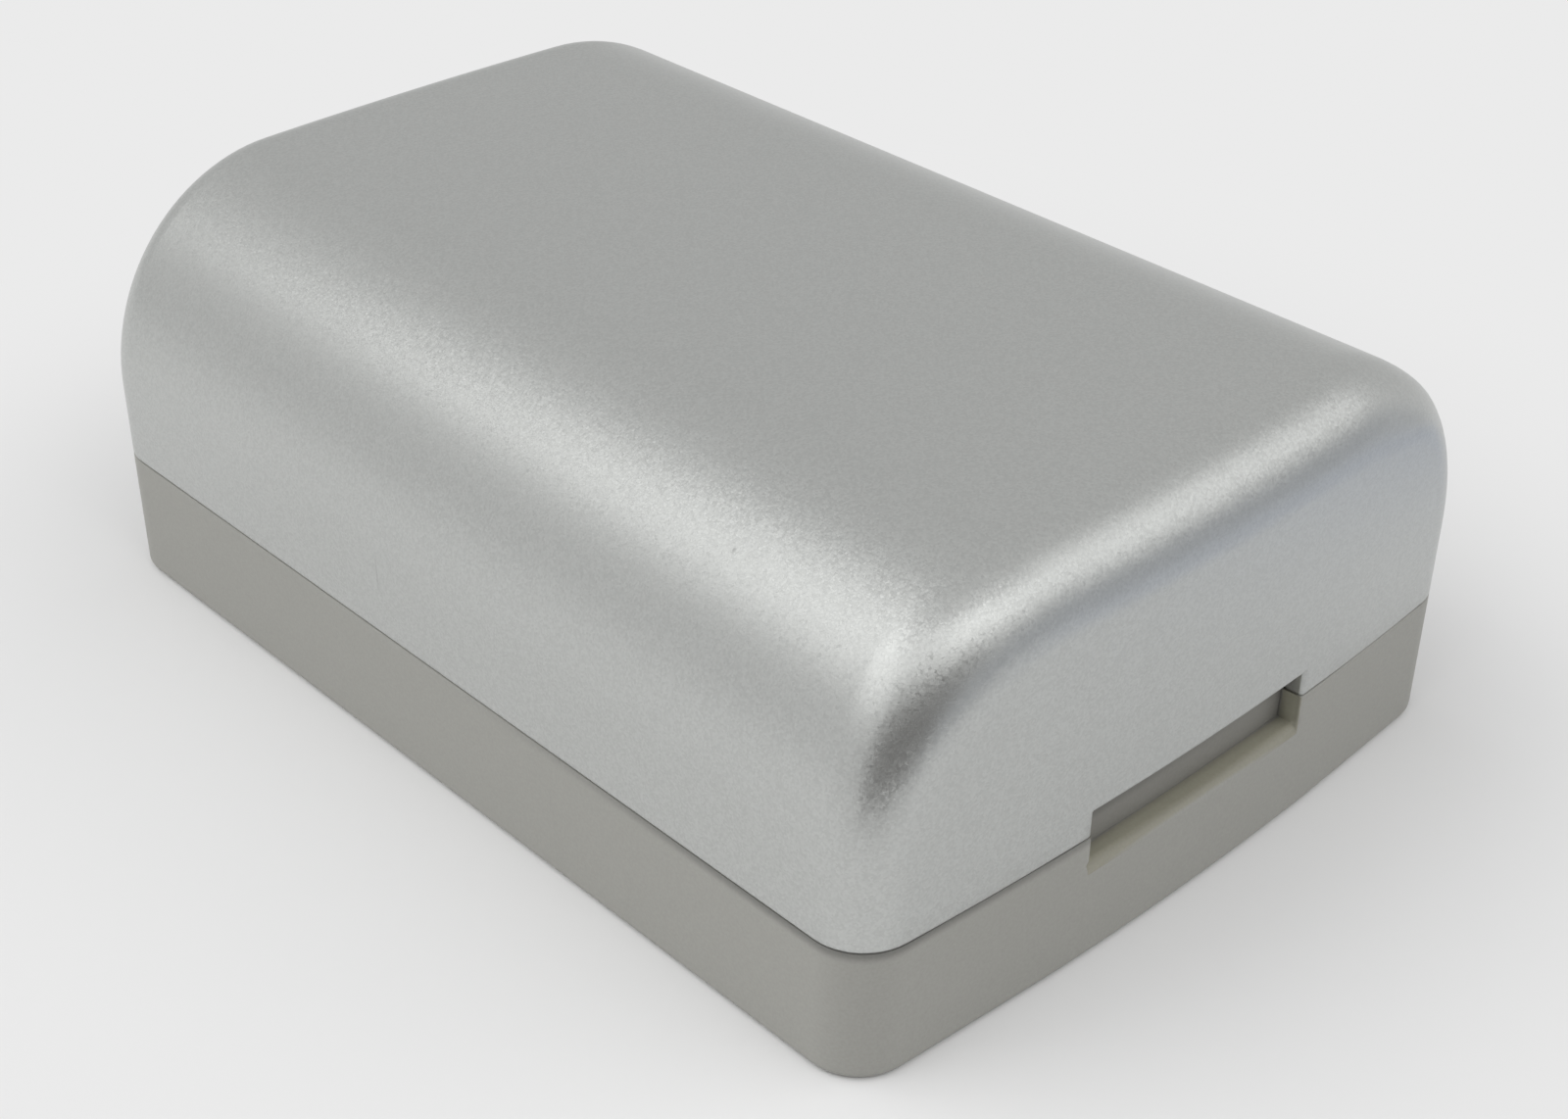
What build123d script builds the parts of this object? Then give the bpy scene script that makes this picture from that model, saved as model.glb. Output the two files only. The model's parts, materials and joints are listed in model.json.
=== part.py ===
from build123d import *
import os
from math import cos, radians, sqrt

# Rechargeable two-cell camera battery. Millimetres, +Z up, origin at the centre of the bottom face.
# The catch notch is in the front end, at -Y, and the contact windows are in the back end, at +Y.

# Cells, standard cylinders that set the size of the case
cell_diameter = 18.0
cell_length = 49.15
cell_gap = 0.12
can_edge = 0.5
crimp_width = 1.9
crimp_height = 0.35
button_diameter = 9.2
button_height = 0.7
sleeve_thickness = 0.12
sleeve_lip = 2.4
ring_thickness = 0.2
ring_width = 3.4
ring_inset = 0.1

# Case mouldings
wall = 1.0
side_gap = 0.2
shoulder_gap = 0.18
seam_height = 6.6
cover_draft = 0.5
end_bow = 0.96
rim_radius = 2.5
bottom_edge = 0.5
cover_edge = 0.25
tongue_height = 0.8
tongue_gap = 0.05

# Catch notch across the seam in the front end
notch_width = 14.0
notch_above_seam = 1.3
notch_below_seam = 1.5
notch_lip = 0.45
pocket_gap = 0.1
pocket_wall = 1.0
pocket_lap = 0.9

# Cradle in the tray
rib_height = 3.8
rib_thickness = 1.2
rib_spacing = 32.0
cradle_gap = 0.1
bed_thickness = 0.26
bed_width = 6.0
bed_end_gap = 1.5
foam_thickness = 0.3
foam_margin = 1.2
foam_length = 34.0

# Strips and insulating sheets
strip_thickness = 0.15
strip_width = 7.0
sense_width = 2.5
tab_width = 5.0
tab_reach = 4.0
stub_diameter = 1.8
sheet_thickness = 0.2
sheet_margin = 1.1
sheet_hole_gap = 0.3
front_gap = 0.1

# Board at the back end
board_thickness = 0.8
board_width = 31.0
board_tall = 14.0
board_corner = 0.6
stop_width = 1.4
stop_spacing = 26.0

# Contacts and their windows
contact_names = ("contact_positive", "contact_temperature", "contact_negative")
contact_pitch = 6.0
contact_height = 0.8
contact_sheet = 0.2
contact_lap = 0.5
contact_foot = 0.6
contact_gap = 0.35
window_width = 2.6
window_tall = 3.2
window_rise = 0.7
window_corner = 0.4

# Small parts on the board
package_size = 3.0
package_height = 0.85
package_standoff = 0.1
package_spacing = 8.0
package_rise = 9.5
lead_width = 0.3
lead_reach = 0.7
lead_pitch = 0.65
lead_thickness = 0.15
lead_rows = 4
chip_length = 1.6
chip_width = 0.8
chip_cap = 0.35
chip_cap_step = 0.03
resistor_height = 0.45
capacitor_height = 0.6
chip_spacing_x = 2.4
chip_spacing_z = 1.5
chip_side = 9.6
resistor_rows = 3
capacitor_rows = 2
thermistor_rise = 12.4
fuse_length = 3.2
fuse_width = 1.6
fuse_rise = 6.9

# Sizes that follow from the stack across the pack
cell_radius = cell_diameter / 2
sleeve_radius = cell_radius + sleeve_thickness
cell_pitch = 2 * sleeve_radius + cell_gap
width = cell_pitch + 2 * (sleeve_radius + side_gap + wall)
cell_z = wall + bed_thickness + sleeve_radius
ceiling = cell_z + sleeve_radius + foam_thickness
height = ceiling + wall
shoulder_radius = sleeve_radius + shoulder_gap + wall
notch_depth = wall + pocket_gap
notch_bottom = seam_height - notch_below_seam
notch_top = seam_height + notch_above_seam
pocket_width = notch_width + 2 * pocket_lap
pocket_top = notch_top + pocket_lap
tongue_inset = wall / 2 + tongue_gap
rib_top = wall + rib_height

# Stack along the pack, from the front face to the back face
end_layers = strip_thickness + sheet_thickness
front_layers = notch_depth + pocket_wall + front_gap + end_layers
back_layers = end_layers + board_thickness + contact_height + contact_gap + wall
length = front_layers + cell_length + back_layers
front_face = -length / 2
back_face = length / 2
pocket_back = front_face + notch_depth + pocket_wall
sheet_front = pocket_back + front_gap
strip_front = sheet_front + sheet_thickness
cells_front = strip_front + strip_thickness
cells_back = cells_front + cell_length
tab_back = cells_back + strip_thickness
board_front = tab_back + sheet_thickness
board_back = board_front + board_thickness
cells_middle = (cells_front + cells_back) / 2
window_bottom = wall + window_rise
window_middle = window_bottom + window_tall / 2

# Radius of the arc that each end face follows in plan
end_arc = (width**2 / 4 + end_bow**2) / (2 * end_bow)

os.makedirs("parts", exist_ok=True)


def plan_outline(inset, rounded=True):
    """Outline of the case in plan, set in evenly from the outer faces."""
    half_width = width / 2 - inset
    half_length = length / 2 - inset
    corner_y = length / 2 - end_arc + sqrt((end_arc - inset) ** 2 - half_width**2)
    with BuildSketch() as plan:
        with BuildLine():
            front = ThreePointArc((-half_width, -corner_y), (0, -half_length), (half_width, -corner_y))
            back = ThreePointArc((half_width, corner_y), (0, half_length), (-half_width, corner_y))
            Line(front @ 1, back @ 0)
            Line(back @ 1, front @ 0)
        make_face()
        if rounded:
            fillet(plan.vertices(), rim_radius - inset)
    return plan.sketch


def front_zone(inset, zone_width, zone_back):
    """Part of the plan at the front end, from an inset of the outer face back to a given line."""
    with BuildSketch() as zone:
        add(plan_outline(inset))
        with Locations((0, zone_back)):
            Rectangle(zone_width, length, align=(Align.CENTER, Align.MAX), mode=Mode.INTERSECT)
    return zone.sketch


def notch_zone():
    """Plan of the catch notch, a band of even depth behind the front face."""
    with BuildSketch() as zone:
        add(front_zone(0, notch_width, front_face + notch_depth + end_bow))
        add(plan_outline(notch_depth), mode=Mode.SUBTRACT)
    return zone.sketch


def finish(builder, name):
    """Label a finished piece and write it to its file."""
    builder.part.label = name
    export_step(builder.part, f"parts/{name}.step")


def cover_form(inset):
    """Form of the cover: tapered sides, large shoulders and bowed ends, with rims rounded outside.

    An inner form is set in evenly, and its rims have a flat that meets the middle of an even round.
    """
    side_inset = inset / cos(radians(cover_draft))
    with BuildPart() as form:
        with BuildSketch(Plane.XY.offset(seam_height)):
            add(plan_outline(inset, rounded=False))
        extrude(amount=height - seam_height)
        with BuildSketch(Plane.XZ) as cross_section:
            with Locations((0, seam_height)):
                Trapezoid(
                    width - 2 * side_inset,
                    height - inset - seam_height,
                    90 - cover_draft,
                    align=(Align.CENTER, Align.MIN),
                )
            fillet(cross_section.vertices().group_by(Axis.Y)[-1], shoulder_radius - inset)
        extrude(amount=length, both=True, mode=Mode.INTERSECT)
        end_faces = form.faces().sort_by(Axis.Y)
        rims = end_faces[0].edges() + end_faces[-1].edges()
        rims = rims.filter_by(lambda edge: edge.center().Z > seam_height + cover_edge)
        if inset:
            chamfer(rims, (rim_radius - inset) * (2 - sqrt(2)))
        else:
            fillet(rims, rim_radius)
    return form.part


# Upper cover: an even shell with a rabbet at its lower rim and the upper half of the catch notch
cover_outside = cover_form(0)
cover_inside = cover_form(wall)
with BuildPart() as upper_cover:
    add(cover_outside)
    add(cover_inside, mode=Mode.SUBTRACT)
    # Rabbet that takes the tray's tongue
    with BuildSketch(Plane.XY.offset(seam_height)):
        add(plan_outline(wall / 2))
    extrude(amount=tongue_height + tongue_gap, mode=Mode.SUBTRACT)
    # Bevelled lower edge, so that the seam reads as a fine groove
    chamfer(upper_cover.faces().sort_by(Axis.Z)[0].outer_wire().edges(), cover_edge)
    # Upper half of the catch notch
    with BuildSketch(Plane.XY.offset(seam_height)):
        add(notch_zone())
    extrude(amount=notch_above_seam, mode=Mode.SUBTRACT)
finish(upper_cover, "upper_cover")

# Lower case: tray with the catch pocket, cradle ribs, board stops, seam tongue and contact windows
with BuildPart() as lower_case:
    with BuildSketch():
        add(plan_outline(0))
    extrude(amount=seam_height)
    chamfer(lower_case.faces().sort_by(Axis.Z)[0].edges(), bottom_edge)
    with BuildSketch(Plane.XY.offset(wall)):
        add(plan_outline(wall))
    extrude(amount=seam_height, mode=Mode.SUBTRACT)
    with BuildSketch(Plane.XY.offset(seam_height)):
        add(plan_outline(tongue_inset))
        add(plan_outline(wall), mode=Mode.SUBTRACT)
    extrude(amount=tongue_height)
    # Wall behind the notch, carried up behind the cover's front wall
    with BuildSketch(Plane.XY.offset(wall)):
        add(front_zone(wall / 2, pocket_width, pocket_back))
    extrude(amount=seam_height - wall)
    with BuildSketch(Plane.XY.offset(seam_height)):
        add(front_zone(tongue_inset, pocket_width, pocket_back))
    extrude(amount=tongue_height)
    with BuildSketch(Plane.XY.offset(seam_height)):
        add(front_zone(notch_depth, pocket_width, pocket_back))
    extrude(amount=pocket_top - seam_height)
    with BuildSketch(Plane.XY.offset(notch_bottom)):
        add(notch_zone())
    extrude(amount=notch_below_seam + tongue_height, mode=Mode.SUBTRACT)
    ledge = lower_case.faces().filter_by(Axis.Z).filter_by_position(Axis.Z, notch_bottom, notch_bottom)
    fillet(ledge.edges().sort_by(Axis.Y)[0], notch_lip)
    # Cradle ribs under the cells
    for rib_side in (-1, 1):
        rib_y = cells_middle + rib_side * rib_spacing / 2
        with BuildSketch(Plane.XZ.offset(-rib_y)):
            with Locations((0, wall)):
                Rectangle(width - wall, rib_height, align=(Align.CENTER, Align.MIN))
            with Locations((-cell_pitch / 2, cell_z), (cell_pitch / 2, cell_z)):
                Circle(sleeve_radius + cradle_gap, mode=Mode.SUBTRACT)
        extrude(amount=rib_thickness / 2, both=True)
    # Stops that the board leans on
    with BuildSketch(Plane.XY.offset(wall)):
        with Locations((-stop_spacing / 2, board_back), (stop_spacing / 2, board_back)):
            Rectangle(stop_width, length, align=(Align.CENTER, Align.MIN))
        add(plan_outline(wall / 2), mode=Mode.INTERSECT)
    extrude(amount=seam_height - wall)
    # Windows over the contacts
    with BuildSketch(Plane.XZ.offset(-back_face)):
        with Locations((0, window_middle)):
            with GridLocations(contact_pitch, 0, len(contact_names), 1):
                RectangleRounded(window_width, window_tall, window_corner)
    extrude(amount=wall + end_bow / 2, mode=Mode.SUBTRACT)
finish(lower_case, "lower_case")

# Cells lie side by side with their ends reversed: the left one has its button at the front
cell_places = {
    "left": Plane((-cell_pitch / 2, cells_back, cell_z), x_dir=(-1, 0, 0), z_dir=(0, 0, 1)),
    "right": Plane((cell_pitch / 2, cells_front, cell_z), x_dir=(1, 0, 0), z_dir=(0, 0, 1)),
}
rim_level = cell_length - button_height
crimp_radius = cell_radius - crimp_width
button_radius = button_diameter / 2

for side, place in cell_places.items():
    cell_axis = Axis(place.origin, place.y_dir)

    # Can with its crimped rim and raised button, turned about its own axis
    with BuildPart() as cell:
        with BuildSketch(place) as half_section:
            with BuildLine():
                Polyline(
                    (0, 0),
                    (cell_radius, 0),
                    (cell_radius, rim_level),
                    (crimp_radius, rim_level),
                    (crimp_radius, rim_level - crimp_height),
                    (button_radius, rim_level - crimp_height),
                    (button_radius, cell_length),
                    (0, cell_length),
                    close=True,
                )
            make_face()
            can_corners = half_section.vertices().filter_by_position(Axis.X, cell_radius, cell_radius)
            chamfer(can_corners, can_edge)
        revolve(axis=cell_axis)
    finish(cell, f"cell_{side}")

    # Shrink sleeve, cut back from the bevel at the negative end and folded over the positive one
    lip_level = rim_level + ring_thickness
    with BuildPart() as cell_sleeve:
        with BuildSketch(place):
            with Locations((cell_radius, can_edge)):
                Rectangle(sleeve_thickness, lip_level - can_edge, align=(Align.MIN, Align.MIN))
            with Locations((sleeve_radius, lip_level)):
                Rectangle(sleeve_lip, sleeve_thickness, align=(Align.MAX, Align.MIN))
        revolve(axis=cell_axis)
    finish(cell_sleeve, f"cell_{side}_sleeve")

    # Paper ring between the crimped rim and the sleeve's lip
    with BuildPart() as cell_ring:
        with BuildSketch(place):
            with Locations((cell_radius - ring_inset, rim_level)):
                Rectangle(ring_width, ring_thickness, align=(Align.MAX, Align.MIN))
        revolve(axis=cell_axis)
    finish(cell_ring, f"cell_{side}_ring")

    # Glue bed between the tray floor and the sleeve
    bed_length = rib_spacing - rib_thickness - 2 * bed_end_gap
    with BuildPart() as adhesive_bed:
        with BuildSketch(Plane.XZ.offset(-cells_middle)):
            with Locations((place.origin.X, wall)):
                Rectangle(bed_width, cell_z - wall, align=(Align.CENTER, Align.MIN))
            with Locations((place.origin.X, cell_z)):
                Circle(sleeve_radius, mode=Mode.SUBTRACT)
        extrude(amount=bed_length / 2, both=True)
    finish(adhesive_bed, f"adhesive_bed_{side}")

# Foam sheet under the cover's top, between the two lines where the cells come closest
with BuildPart() as foam_pad:
    with BuildSketch(Plane.XY.offset(ceiling)):
        with Locations((0, cells_middle)):
            Rectangle(cell_pitch - 2 * foam_margin, foam_length)
    extrude(amount=-foam_thickness)
finish(foam_pad, "foam_pad")

# Planes of the layers at the two ends, with the sketch's X along +X and its Y along +Z
front_strip_plane = Plane.XZ.offset(-cells_front)
front_sheet_plane = Plane.XZ.offset(-strip_front)
back_tab_plane = Plane.XZ.offset(-tab_back)
back_sheet_plane = Plane.XZ.offset(-board_front)
sheet_tall = cell_diameter - 2 * sheet_margin

# Strip that joins the two cells in series
with BuildPart() as series_strip:
    with BuildSketch(front_strip_plane):
        with Locations((0, cell_z)):
            SlotCenterToCenter(cell_pitch, strip_width)
    extrude(amount=strip_thickness)
finish(series_strip, "series_strip")

# Sheet between the series strip and the wall behind the notch
with BuildPart() as front_insulator:
    with BuildSketch(front_sheet_plane):
        with Locations((0, cell_z)):
            SlotCenterToCenter(cell_pitch, sheet_tall)
    extrude(amount=sheet_thickness)
finish(front_insulator, "front_insulator")

# Tabs from the cells' back ends, each with a solder stub through the sheet to the board
stub_offset = cell_pitch / 2 - tab_reach
for tab_name, tab_side in (("negative_tab", -1), ("positive_tab", 1)):
    with BuildPart() as cell_tab:
        with BuildSketch(back_tab_plane):
            with Locations((tab_side * (cell_pitch / 2 - tab_reach / 2), cell_z)):
                SlotCenterToCenter(tab_reach, tab_width)
        extrude(amount=strip_thickness)
        with BuildSketch(back_sheet_plane):
            with Locations((tab_side * stub_offset, cell_z)):
                Circle(stub_diameter / 2)
        extrude(amount=end_layers)
    finish(cell_tab, tab_name)

# Sheet between the tabs and the board, pierced for the stubs and the midpoint strip
with BuildPart() as board_insulator:
    with BuildSketch(back_sheet_plane):
        with Locations((0, cell_z)):
            SlotCenterToCenter(cell_pitch, sheet_tall)
            with GridLocations(2 * stub_offset, 0, 2, 1):
                Circle(stub_diameter / 2 + sheet_hole_gap, mode=Mode.SUBTRACT)
        with Locations((0, rib_top + strip_thickness / 2)):
            Rectangle(
                sense_width + 2 * sheet_hole_gap,
                strip_thickness + 2 * sheet_hole_gap,
                mode=Mode.SUBTRACT,
            )
    extrude(amount=sheet_thickness)
finish(board_insulator, "board_insulator")

# Strip from the series strip to the board, lying on the ribs in the valley between the cells
with BuildPart() as midpoint_strip:
    with BuildSketch(Plane.YZ):
        with Locations((strip_front, rib_top)):
            Rectangle(board_front - strip_front, strip_thickness, align=(Align.MIN, Align.MIN))
            Rectangle(strip_thickness, cell_z - strip_width / 2 - rib_top, align=(Align.MIN, Align.MIN))
    extrude(amount=sense_width / 2, both=True)
finish(midpoint_strip, "midpoint_strip")

# Board, upright on the tray floor between the sheet and the stops
with BuildPart() as protection_board:
    with BuildSketch(Plane.XZ.offset(-board_front)):
        with Locations((0, wall + board_tall / 2)):
            RectangleRounded(board_width, board_tall, board_corner)
    extrude(amount=-board_thickness)
finish(protection_board, "protection_board")

# Contacts: folded strips that stand on the board behind the windows
contact_width = window_width + 2 * contact_lap
contact_tall = window_tall + 2 * contact_lap
for contact_index, contact_name in enumerate(contact_names):
    contact_x = ((len(contact_names) - 1) / 2 - contact_index) * contact_pitch
    with BuildPart() as contact:
        with BuildSketch(Plane.XY.offset(window_middle)):
            with Locations((contact_x, board_back)):
                Rectangle(
                    contact_width + 2 * contact_foot,
                    contact_sheet,
                    align=(Align.CENTER, Align.MIN),
                )
                Rectangle(contact_width, contact_height, align=(Align.CENTER, Align.MIN))
                Rectangle(
                    contact_width - 2 * contact_sheet,
                    contact_height - contact_sheet,
                    align=(Align.CENTER, Align.MIN),
                    mode=Mode.SUBTRACT,
                )
        extrude(amount=contact_tall / 2, both=True)
    finish(contact, contact_name)

# Outer face of the board, with the sketch's X along -X, its Y along +Z and its normal along +Y
board_face = Plane((0, board_back, wall), x_dir=(-1, 0, 0), z_dir=(0, 1, 0))

# Leaded packages: a moulded body on two rows of flat leads
for package_name, package_side in (("protection_chip", 1), ("switching_transistor", -1)):
    package_place = (package_side * package_spacing / 2, package_rise)
    with BuildPart() as package:
        with BuildSketch(board_face.offset(package_standoff)):
            with Locations(package_place):
                Rectangle(package_size, package_size)
        extrude(amount=package_height - package_standoff)
        with BuildSketch(board_face):
            with Locations(package_place):
                with GridLocations(package_size, lead_pitch, 2, lead_rows):
                    Rectangle(2 * lead_reach, lead_width)
        extrude(amount=lead_thickness)
    finish(package, package_name)


def chip_array(places, body_length, body_width, body_height):
    """Surface-mount chips at the given places on the board, each with a plated cap at both ends."""
    with BuildPart() as chips:
        with BuildSketch(board_face):
            with Locations(*places):
                Rectangle(body_length, body_width)
        extrude(amount=body_height - chip_cap_step)
        with BuildSketch(board_face):
            with Locations(*places):
                with GridLocations(body_length - chip_cap, 0, 2, 1):
                    Rectangle(chip_cap, body_width + 2 * chip_cap_step)
        extrude(amount=body_height)
    return chips


def chip_grid(middle_x, middle_z, rows):
    """Places of two columns of chips round a point on the board."""
    places = []
    for row in range(rows):
        for column in (-0.5, 0.5):
            place_z = middle_z + (row - (rows - 1) / 2) * chip_spacing_z
            places.append((middle_x + column * chip_spacing_x, place_z))
    return places


resistor_places = chip_grid(chip_side, package_rise, resistor_rows)
finish(chip_array(resistor_places, chip_length, chip_width, resistor_height), "chip_resistors")
capacitor_places = chip_grid(-chip_side, package_rise, capacitor_rows)
finish(chip_array(capacitor_places, chip_length, chip_width, capacitor_height), "chip_capacitors")
thermistor_place = [(0, thermistor_rise)]
finish(chip_array(thermistor_place, chip_length, chip_width, resistor_height), "thermistor")
fuse_place = [(-chip_side, fuse_rise)]
finish(chip_array(fuse_place, fuse_length, fuse_width, capacitor_height), "chip_fuse")
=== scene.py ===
"""Looks of a two-cell camera battery: a silver cover on a grey tray, in a pale studio."""

import json
from math import cos, pi, radians, sin

import bmesh
import bpy
from bpy.props import FloatProperty, FloatVectorProperty, IntProperty, PointerProperty
from mathutils import Matrix, Vector


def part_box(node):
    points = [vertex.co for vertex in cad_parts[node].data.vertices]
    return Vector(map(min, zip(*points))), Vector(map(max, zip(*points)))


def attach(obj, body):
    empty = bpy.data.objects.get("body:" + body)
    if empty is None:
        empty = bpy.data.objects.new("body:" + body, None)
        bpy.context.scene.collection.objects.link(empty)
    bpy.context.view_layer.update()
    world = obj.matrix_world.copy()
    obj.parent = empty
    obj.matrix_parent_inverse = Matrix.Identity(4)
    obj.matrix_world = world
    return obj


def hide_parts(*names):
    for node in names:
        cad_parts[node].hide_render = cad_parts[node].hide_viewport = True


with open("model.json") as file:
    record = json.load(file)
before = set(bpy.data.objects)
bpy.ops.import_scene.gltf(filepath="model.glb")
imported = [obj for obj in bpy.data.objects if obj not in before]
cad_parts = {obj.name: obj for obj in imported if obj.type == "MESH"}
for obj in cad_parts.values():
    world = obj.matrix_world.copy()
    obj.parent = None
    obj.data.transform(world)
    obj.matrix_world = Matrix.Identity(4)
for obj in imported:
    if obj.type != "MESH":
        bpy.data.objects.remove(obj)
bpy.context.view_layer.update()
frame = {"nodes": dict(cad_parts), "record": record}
COVER_LOW, COVER_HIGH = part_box("upper_cover")
TRAY_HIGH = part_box("lower_case")[1]
CONTACT_LOW, CONTACT_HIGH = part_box("contact_temperature")
CONTACT_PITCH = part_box("contact_positive")[0].x - CONTACT_LOW.x
HALF_WIDTH = TRAY_HIGH.x
HALF_LENGTH = TRAY_HIGH.y
SEAM = COVER_LOW.z
MM = 0.001
TINY = 1e-6
NEAR = 0.1 * MM
PLACE_DIGITS = 7
PHOTO_WIDTH = 1600
CLIP_START = 5.0 * MM

bl_info = {
    "name": "Camera Battery",
    "version": (1, 0, 0),
    "blender": (4, 5, 0),
    "location": "View3D > Sidebar > Battery",
    "description": "Builds the shells, finishes and studio of a camera battery",
    "category": "Object",
}

# Share of a direction above which it runs mainly along one axis
MAINLY = 0.5

# Cuts across the ends: how many fill half the width, how many each side uses, and their least distance
HALF_STEPS = 20
USED_STEPS = 9
LEAST_STEP = 0.4 * MM

# Turns between two faces above which an edge is rounded, or shaded as sharp
ROUNDED_TURN = radians(60)
SHARP_TURN = radians(50)

# Faces round each kind of edge
CORNER_FACES = 12
FOOT_FACES = 5
LIP_FACES = 5
WINDOW_FACES = 4
CUT_FACES = 3
FINE_FACES = 2

# Lean of the paint flakes: its least, how much more the strays lean, and how rare these are, as a power
LEAN_LEAST = 0.75
LEAN_MORE = 0.9
LEAN_RARITY = 4.0

# Painted shadow of the cover's edge, in a line under the seam: its height, how far from the front left
# corner it is full and gone, and how much it darkens
SEAM_SHADOW_BAND = 0.5 * MM
SEAM_SHADOW_FULL = 3.0 * MM
SEAM_SHADOW_GONE = 30.0 * MM
SEAM_SHADOW_LOSS = 0.45

# Share of a mark that is full before it fades to its rim
MARK_CORE = 0.4

# Marks on the cover: middle, half the size along X, Y and Z, and level
SCRATCH = (Vector((-19.47, 3.62, 9.9)) * MM, Vector((1.0, 0.07, 1.1)) * MM, 0.86)
NICK = (Vector((-15.68, -15.56, 18.5)) * MM, Vector((0.14, 0.1, 0.1)) * MM, 0.75)

# Painted shade in the tray's notch by depth, from the front face to the back wall: darker under the cover,
# with an olive tint of painted light reflected between the notch's grey walls
NOTCH_PAINTED_SHADE = (
    (0.03, (1.0, 1.0, 0.98)),
    (0.1, (0.9, 0.88, 0.76)),
    (0.25, (0.88, 0.86, 0.73)),
    (0.4, (1.0, 0.98, 0.82)),
    (0.7, (0.97, 0.95, 0.79)),
    (0.96, (0.78, 0.76, 0.65)),
    (1.0, (0.7, 0.69, 0.67)),
)

# Softboxes from left to right: turn from the camera in degrees, share of the power, further tilt in degrees,
# and height as a share of their distance, as their width is
SOFTBOXES = (
    (-90, 0.82, 6, 0.56),
    (-45, 0.81, 4, 0.56),
    (18, 0.47, -1, 0.3),
    (45, 0.81, 15, 0.5),
    (90, 0.61, 20, 0.5),
)
SOFTBOX_WIDTH = 0.64

# Dark cards: name, colour, turn and lean in degrees, distance, width and height
CARDS = (
    ("tall_card", (0.04, 0.03, 0.025), -30, 90, 0.12, 0.12, 0.08),
    ("low_card", (0.36, 0.38, 0.42), 20, 90, 0.11, 0.2, 0.032),
    ("floor_card", (0.55, 0.59, 0.69), 37, 0, 0.098, 0.06, 0.045),
)
CARD_LIFT = 0.3 * MM

# Side that the fill leans to, and the heights between which the mirrored room changes its level
FILL_SIDE = (-0.8, 0.6, 0.0)
ROOM_CHANGE = (0.1, 0.5)

# Floor: its radius, its sides, and the shares of the half length between which it fades to the backdrop
FLOOR_RADIUS = 3.0
FLOOR_SIDES = 64
FLOOR_FADE = (1.1, 2.2)


# Settings

class CoverSizes(bpy.types.PropertyGroup):
    """Sizes of the silver cover."""

    wall: FloatProperty(
        name="Wall",
        description="Thickness of the moulded wall",
        default=1.0 * MM,
        unit="LENGTH",
        precision=5,
    )
    shoulder: FloatProperty(
        name="Shoulder radius",
        description="Radius of the two long shoulders",
        default=10.3 * MM,
        unit="LENGTH",
        precision=5,
    )
    side_rim: FloatProperty(
        name="Side rim radius",
        description="Radius of the upright corners",
        default=2.4 * MM,
        unit="LENGTH",
        precision=5,
    )
    top_rim: FloatProperty(
        name="Top rim radius",
        description="Radius where the top rolls over to the front end",
        default=3.6 * MM,
        unit="LENGTH",
        precision=5,
    )
    left_start: FloatProperty(
        name="Left rim start",
        description="Upward lean of the left shoulder from which the front rim widens",
        default=0.05,
        subtype="FACTOR",
    )
    right_start: FloatProperty(
        name="Right rim start",
        description="Upward lean of the right shoulder from which the front rim widens",
        default=0.7,
        subtype="FACTOR",
    )
    bow: FloatProperty(
        name="End bow",
        description="How far each end face bows out at its middle",
        default=0.96 * MM,
        unit="LENGTH",
        precision=5,
    )
    edge: FloatProperty(
        name="Lower edge",
        description="Radius of the cover's cut edges",
        default=0.2 * MM,
        unit="LENGTH",
        precision=5,
    )
    segments: IntProperty(
        name="Shoulder segments",
        description="Faces round each shoulder",
        default=28,
        min=4,
    )


class CatchSizes(bpy.types.PropertyGroup):
    """Sizes of the catch notch across the seam."""

    width: FloatProperty(
        name="Notch width",
        description="Width of the notch across the front end",
        default=14.0 * MM,
        unit="LENGTH",
        precision=5,
    )
    above: FloatProperty(
        name="Above the seam",
        description="How far the notch reaches up into the cover",
        default=1.3 * MM,
        unit="LENGTH",
        precision=5,
    )
    below: FloatProperty(
        name="Below the seam",
        description="How far the notch reaches down into the tray",
        default=1.5 * MM,
        unit="LENGTH",
        precision=5,
    )
    depth: FloatProperty(
        name="Notch depth",
        description="Depth of the notch behind the front face",
        default=1.1 * MM,
        unit="LENGTH",
        precision=5,
    )
    lip: FloatProperty(
        name="Ledge lip",
        description="Radius of the rounded front edge of the ledge",
        default=0.45 * MM,
        unit="LENGTH",
        precision=5,
    )
    lap: FloatProperty(
        name="Back wall lap",
        description="How far the wall behind the notch reaches past its ends",
        default=0.9 * MM,
        unit="LENGTH",
        precision=5,
    )


class TraySizes(bpy.types.PropertyGroup):
    """Sizes of the grey tray."""

    corner: FloatProperty(
        name="Corner radius",
        description="Radius of the upright corners",
        default=2.4 * MM,
        unit="LENGTH",
        precision=5,
    )
    bottom: FloatProperty(
        name="Bottom edge",
        description="Radius round the bottom face",
        default=0.5 * MM,
        unit="LENGTH",
        precision=5,
    )
    edge: FloatProperty(
        name="Fine edge",
        description="Radius of the seam edge and the cut edges",
        default=0.08 * MM,
        unit="LENGTH",
        precision=5,
    )
    window_width: FloatProperty(
        name="Window width",
        description="Width of each contact window",
        default=2.6 * MM,
        unit="LENGTH",
        precision=5,
    )
    window_height: FloatProperty(
        name="Window height",
        description="Height of each contact window",
        default=3.2 * MM,
        unit="LENGTH",
        precision=5,
    )
    window_corner: FloatProperty(
        name="Window corner",
        description="Radius of the corners of each contact window",
        default=0.4 * MM,
        unit="LENGTH",
        precision=5,
    )


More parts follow.
